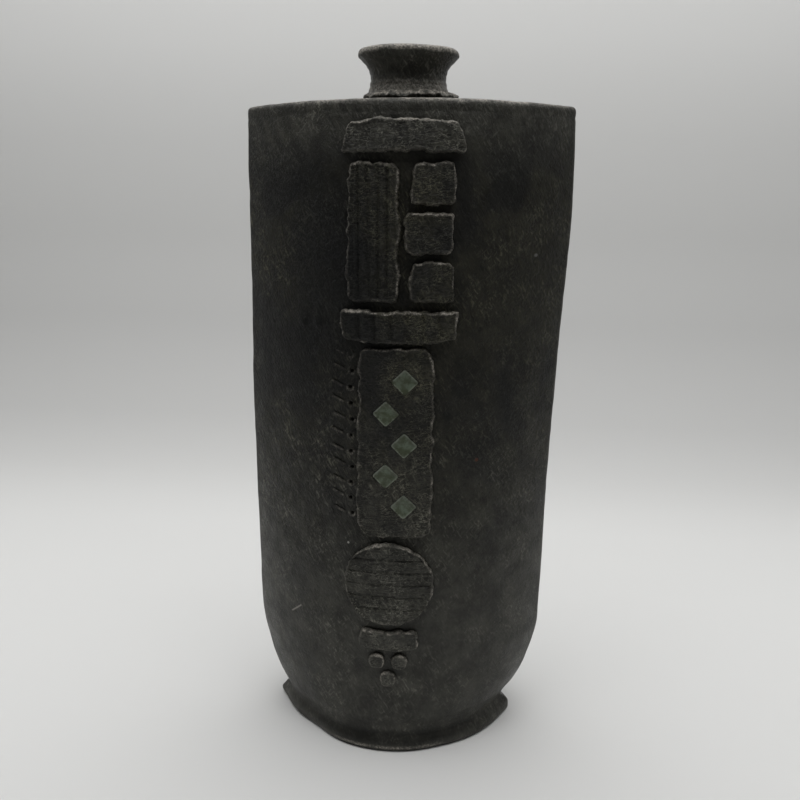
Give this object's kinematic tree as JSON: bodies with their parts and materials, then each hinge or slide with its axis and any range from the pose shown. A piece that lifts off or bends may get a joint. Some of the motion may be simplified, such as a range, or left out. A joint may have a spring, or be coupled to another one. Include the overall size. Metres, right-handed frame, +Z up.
{
  "type": "slab-built ceramic bottle vase",
  "caption": "Tall flattened stoneware bottle vase of two curved slabs pinched at the seams, with a short thrown neck and a column of applied clay patches with small glazed wells.",
  "frame": {"origin": "on the ground, under the middle of the body", "axes": "+Z up through the neck, -Y out of the decorated front, +X to the right seen from the front"},
  "size_m": [0.1606, 0.0905, 0.3517],
  "materials": {
    "stoneware": "matte"
  },
  "bodies": {
    "root": {"vase": "stoneware"}
  },
  "joints": []
}
